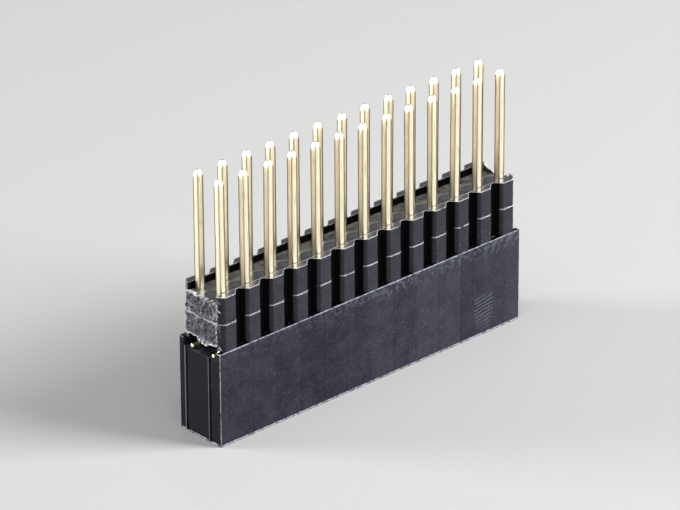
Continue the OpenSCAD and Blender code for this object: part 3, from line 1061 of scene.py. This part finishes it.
def sliver(path, half_width, half_thickness):
    """A thin strip of flash along a path of points. It thins towards its end."""
    path = np.asarray(path, float)
    steps = 12
    share = np.linspace(0, 1, steps)
    marks = np.linspace(0, 1, len(path))
    middle = np.stack([np.interp(share, marks, path[:, k]) for k in range(3)], axis=1)
    along = np.gradient(middle, axis=0)
    along /= np.linalg.norm(along, axis=1, keepdims=True)
    side = np.cross(along, [0.3, 0.9, 0.2])
    side /= np.linalg.norm(side, axis=1, keepdims=True)
    up = np.cross(side, along)
    taper = (1 - share ** 2 * 0.9)[:, None]
    ring = np.array([[1, 0], [0, 1], [-1, 0], [0, -1]])
    points = (middle[:, None] + ring[None, :, :1] * (side * taper * half_width)[:, None]
              + ring[None, :, 1:] * (up * taper * half_thickness)[:, None])
    quads = ring_quads(steps, 4)[:, ::-1]
    last = (steps - 1) * 4
    caps = [[0, 1, 2, 3], [last + 3, last + 2, last + 1, last]]
    return points.reshape(-1, 3), quads.tolist() + caps


def flash_shape():
    """Slivers of flash at both broken ends and on the seam between the insulators."""
    top = RIM_Z
    seam = SEAM_Z
    return joined([
        sliver([(16.15, 1.60, top - 0.02), (16.12, 1.42, top + 0.08), (16.10, 1.1, top - 0.18),
                (16.12, 0.70, top - 0.36)], 0.09, 0.04),
        sliver([(16.25, -1.75, top - 0.02), (16.28, -1.60, top + 0.08), (16.20, -1.42, top - 0.02),
                (16.22, -1.15, top - 0.25)], 0.06, 0.03),
        sliver([(15.62, -2.36, top - 0.03), (15.95, -2.22, top + 0.02), (16.10, -1.95, top + 0.03)],
               0.05, 0.03),
        sliver([(15.1, -2.37, seam), (15.5, -2.39, seam + 0.01), (15.86, -2.37, seam + 0.02)],
               0.03, 0.035),
        sliver([(12.75, -2.38, seam - 0.02), (12.95, -2.39, seam), (13.15, -2.37, seam + 0.02)],
               0.025, 0.03),
        sliver([(-16.14, -1.85, 11.95), (-16.18, -2.02, 11.92), (-16.14, -2.22, 11.80)], 0.06, 0.035),
        sliver([(-16.05, -1.85, 8.75), (-16.10, -1.98, 8.60), (-16.02, -2.16, 8.42)], 0.06, 0.04),
        sliver([(-16.12, 1.80, 12.45), (-16.16, 1.86, 12.62), (-16.12, 1.80, 12.74)], 0.05, 0.03),
    ])


def leaf_line():
    """Middle of a spring leaf, top to bottom: in to the grip and out again, each on
    half a cosine wave. Gives offsets across the rows and heights."""
    top, bend, grip, end = LEDGE_Z - 0.15, LEDGE_Z - 0.9, 2.8, 1.5
    root, pinch, foot = 0.55, 0.30, 0.50
    t = np.linspace(0, 1, 9)
    ease = (1 - np.cos(math.pi * t)) / 2
    across = np.concatenate([[root], root + (pinch - root) * ease, (pinch + (foot - pinch) * ease)[1:]])
    height = np.concatenate([[top], bend + (grip - bend) * t, (grip + (end - grip) * t)[1:]])
    return across, height


def contact_shape(x, y, lean, squareness):
    """One contact: square tail with a bullet tip, shoulder plate, bridge and leaves.
    Each is a bar of round-cornered rings along Z. The tail leans a little above the
    upper insulator."""
    outline = ring_shape(40, squareness)
    plate = ring_shape(24, 14)
    tail_half, tip_half, end_half = 0.32, 0.11, 0.06
    tip_length, tip_cap = 0.6, 0.03
    s = np.linspace(0, 1, 11)
    straight = np.linspace(RIM_Z, TIP_Z - tip_length, 9)
    z = np.concatenate([[LEDGE_Z - 0.15, LEDGE_Z], straight,
                        (TIP_Z - tip_length + tip_length * s)[1:], [TIP_Z]])
    tapered = tail_half - (tail_half - tip_half) * s ** 1.45
    half = np.concatenate([np.full(11, tail_half), tapered[1:], [end_half]])
    drift = np.clip((z - RIM_Z) / (TIP_Z - RIM_Z), 0, 1)
    middles = np.stack([x + lean[0] * drift, y + lean[1] * drift, z], axis=1)
    middles[-2, 2] = TIP_Z - tip_cap
    tail = bar(middles, half, half, outline)

    def slab(low, high, half_x, half_y):
        bevel = 0.03
        z = np.array([low, low + bevel, high - bevel, high])
        draw = np.array([bevel, 0, 0, bevel])
        middles = np.stack([np.full(4, x), np.full(4, y), z], axis=1)
        return bar(middles, half_x - draw, half_y - draw, plate)

    shoulder = slab(LEDGE_Z - 0.05, CHANNEL_Z + 0.2, 0.95, 0.15)
    bridge = slab(LEDGE_Z - 0.3, LEDGE_Z, 0.75, 0.65)
    across, height = leaf_line()
    width = np.interp(height, [height[-1], LEDGE_Z - 0.3], [0.40, 0.75])
    leaf_half = 0.1
    leaves = []
    for side in (-1, 1):
        middles = np.stack([np.full(len(height), x), y + side * across, height], axis=1)
        leaves.append(bar(middles[::-1], width[::-1], leaf_half, plate))
    points, faces = joined([tail, shoulder, bridge, *leaves])
    # How near each point of the tail lies to one of its four long edges, where a painted
    # dark reflection lies. It is heavier on two of them, which lie across from each other.
    wide, narrow = np.abs(outline).max(1), np.abs(outline).min(1)
    heavy = outline.prod(1) < 0
    shade_start = np.where(heavy, 0.36, 0.70)
    strength = np.where(heavy, 1.0, 0.6)
    film_and_edge_shade = np.clip((narrow / wide - shade_start) / 0.24, 0, 1) * strength
    below_tip = np.clip((TIP_Z - 0.25 - z) / 0.3, 0, 1)
    corner = np.zeros(len(points))
    corner[:len(film_and_edge_shade) * len(z)] = np.outer(below_tip, film_and_edge_shade).ravel()
    return points, faces, corner


class HEADER_OT_housing(bpy.types.Operator):
    """Make the socket housing"""

    bl_idname = "header.housing"
    bl_label = "Socket housing"

    def execute(self, context):
        look = context.scene.header_housing
        points, quads = housing_shape()
        piece = make_piece("housing_shell", points, quads, housing_plastic(look),
                           "housing_plastic", ["socket_housing"])
        round_edges(piece, look.corner_round, housing_edge_share)
        return {"FINISHED"}


class HEADER_OT_insulators(bpy.types.Operator):
    """Make both insulators and the torn faces at their left ends"""

    bl_idname = "header.insulators"
    bl_label = "Insulators"

    def execute(self, context):
        look = context.scene.header_insulator
        plastic = insulator_plastic(look)
        torn = torn_plastic(look)
        flat = look.pad_flat / MM
        for name, seed in (("lower", 31), ("upper", 57)):
            points, quads = insulator_shape(flat, seed, 0.035 if name == "lower" else 0.0)
            if name == "lower":
                points = turned_over(points) + [0, 0, SEAM_Z]
            else:
                points = points + [0, 0, SEAM_Z]
            body = make_piece(name + "_strip", points, quads, plastic,
                              "insulator_plastic", [name + "_insulator"])
            round_edges(body, look.edge_round, lambda middles, along: np.ones(len(middles)))
            points, quads, crest = torn_face(name, seed)
            make_piece(name + "_torn_face", points, quads, torn, "insulator_plastic",
                       smooth_angle=60, crest=crest)
        points, quads, crest = snapped_web(91)
        make_piece("snapped_web", points, quads, torn, "insulator_plastic",
                   smooth_angle=60, crest=crest)
        points, faces = flash_shape()
        make_piece("flash_slivers", points, faces, torn, "insulator_plastic",
                   smooth_angle=60, crest=np.ones(len(points)))
        return {"FINISHED"}


class HEADER_OT_contacts(bpy.types.Operator):
    """Make the 26 contacts with their long square tails"""

    bl_idname = "header.contacts"
    bl_label = "Contacts"

    def execute(self, context):
        look = context.scene.header_contact
        gold = contact_gold(look)
        rng = np.random.default_rng(8)
        for row, y in ROWS.items():
            for number, x in enumerate(PIN_X, start=1):
                lean = rng.uniform(-1, 1, 2) * look.lean / MM
                points, faces, corner = contact_shape(x, y, lean, look.squareness)
                make_piece(f"{row}_tail_{number:02d}", points, faces, gold, "contact_gold",
                           [f"contact_{row}_{number:02d}"], smooth_angle=50, corner=corner)
        return {"FINISHED"}


def add_area_light(name, place, size, power, aim_height=0.01):
    """A white rectangular light that looks at the part's middle at the aim's height."""
    light = bpy.data.lights.new(name, "AREA")
    light.shape = "RECTANGLE"
    light.size = size[0]
    light.size_y = size[1]
    light.energy = power
    lamp = bpy.data.objects.new(name, light)
    lamp.location = place
    sight = Vector((0, 0, aim_height)) - Vector(place)
    lamp.rotation_euler = sight.to_track_quat("-Z", "Y").to_euler()
    bpy.context.scene.collection.objects.link(lamp)


def camera_at(azimuth, elevation, roll, distance, shift_right, shift_up, focal_pixels):
    """A camera that looks along the given angles, turned by the roll about its line of
    sight. Azimuth 0 looks along +Y. The two shifts slide it sideways and up in its own
    plane. The distance and the shifts are in metres."""
    a, e, c = math.radians(azimuth), math.radians(elevation), math.radians(roll)
    back = Vector((math.sin(a) * math.cos(e), -math.cos(a) * math.cos(e), math.sin(e)))
    right = Vector((0, 0, 1)).cross(back).normalized()
    up = back.cross(right)
    turned_right = right * math.cos(c) + up * math.sin(c)
    turned_up = up * math.cos(c) - right * math.sin(c)
    camera = bpy.data.cameras.new("photo_camera")
    camera.sensor_width = SENSOR_MM
    camera.lens = focal_pixels * SENSOR_MM / PICTURE_PIXELS
    camera.clip_start = 0.01
    camera.clip_end = 20
    made = bpy.data.objects.new("photo_camera", camera)
    place = back * distance + turned_right * shift_right + turned_up * shift_up
    made.matrix_world = Matrix.Translation(place) @ Matrix(
        (turned_right, turned_up, back)).transposed().to_4x4()
    bpy.context.scene.collection.objects.link(made)
    bpy.context.scene.camera = made


class HEADER_OT_stage(bpy.types.Operator):
    """Make the floor, the lights and the camera"""

    bl_idname = "header.stage"
    bl_label = "Stage"

    def execute(self, context):
        look = context.scene.header_stage
        scene = context.scene
        mesh = bpy.data.meshes.new("floor")
        reach = 2.0
        corners = [(-reach, -reach, 0), (reach, -reach, 0), (reach, reach, 0), (-reach, reach, 0)]
        mesh.from_pydata(corners, [], [(0, 1, 2, 3)])
        mesh.materials.append(floor_material(look))
        floor = bpy.data.objects.new("floor", mesh)
        scene.collection.objects.link(floor)

        add_area_light("key", (0.26, -0.30, 0.26), (0.22, 0.22), look.key_power)
        add_area_light("top", (-0.12, -0.08, 0.42), (0.42, 0.36), look.top_power)
        add_area_light("left", (-0.30, 0.31, 0.09), (0.16, 0.12), look.left_power)
        add_area_light("back", (0.24, 0.27, 0.17), (0.26, 0.12), look.back_power, 0.015)

        world = bpy.data.worlds.new("studio")
        world.use_nodes = True
        fill(world.node_tree.nodes["Background"], Color=WORLD_GREY, Strength=0.16)
        scene.world = world
        scene.view_settings.view_transform = "Standard"
        # Found by fitting the camera to points of the photo
        camera_at(azimuth=-42.37, elevation=26.55, roll=-0.29, distance=0.4215,
                  shift_right=-0.00107, shift_up=0.00953, focal_pixels=5149)
        return {"FINISHED"}


class HEADER_PT_sidebar(bpy.types.Panel):
    """Steps that build the stacking header"""

    bl_label = "Stacking Header"
    bl_idname = "HEADER_PT_sidebar"
    bl_space_type = "VIEW_3D"
    bl_region_type = "UI"
    bl_category = "Header"

    def draw(self, context):
        scene = context.scene
        for name in LOOKS:
            look = getattr(scene, name)
            box = self.layout.box()
            for label in look.bl_rna.properties.keys():
                if label not in ("rna_type", "name"):
                    box.prop(look, label)
        for operator in OPERATORS:
            self.layout.operator(operator.bl_idname)


LOOKS = {
    "header_housing": HousingLook,
    "header_insulator": InsulatorLook,
    "header_contact": ContactLook,
    "header_stage": StageLook,
}
OPERATORS = (HEADER_OT_stage, HEADER_OT_housing, HEADER_OT_insulators, HEADER_OT_contacts)


def register():
    """Adds the looks, the operators and the panel to Blender."""
    for name, group in LOOKS.items():
        bpy.utils.register_class(group)
        setattr(bpy.types.Scene, name, bpy.props.PointerProperty(type=group))
    for operator in OPERATORS:
        bpy.utils.register_class(operator)
    bpy.utils.register_class(HEADER_PT_sidebar)


def unregister():
    """Takes away all that register added."""
    bpy.utils.unregister_class(HEADER_PT_sidebar)
    for operator in reversed(OPERATORS):
        bpy.utils.unregister_class(operator)
    for name, group in LOOKS.items():
        delattr(bpy.types.Scene, name)
        bpy.utils.unregister_class(group)


def main():
    """Builds everything."""
    register()
    bpy.ops.header.stage()
    bpy.ops.header.housing()
    bpy.ops.header.insulators()
    bpy.ops.header.contacts()


if __name__ == "__main__":
    main()
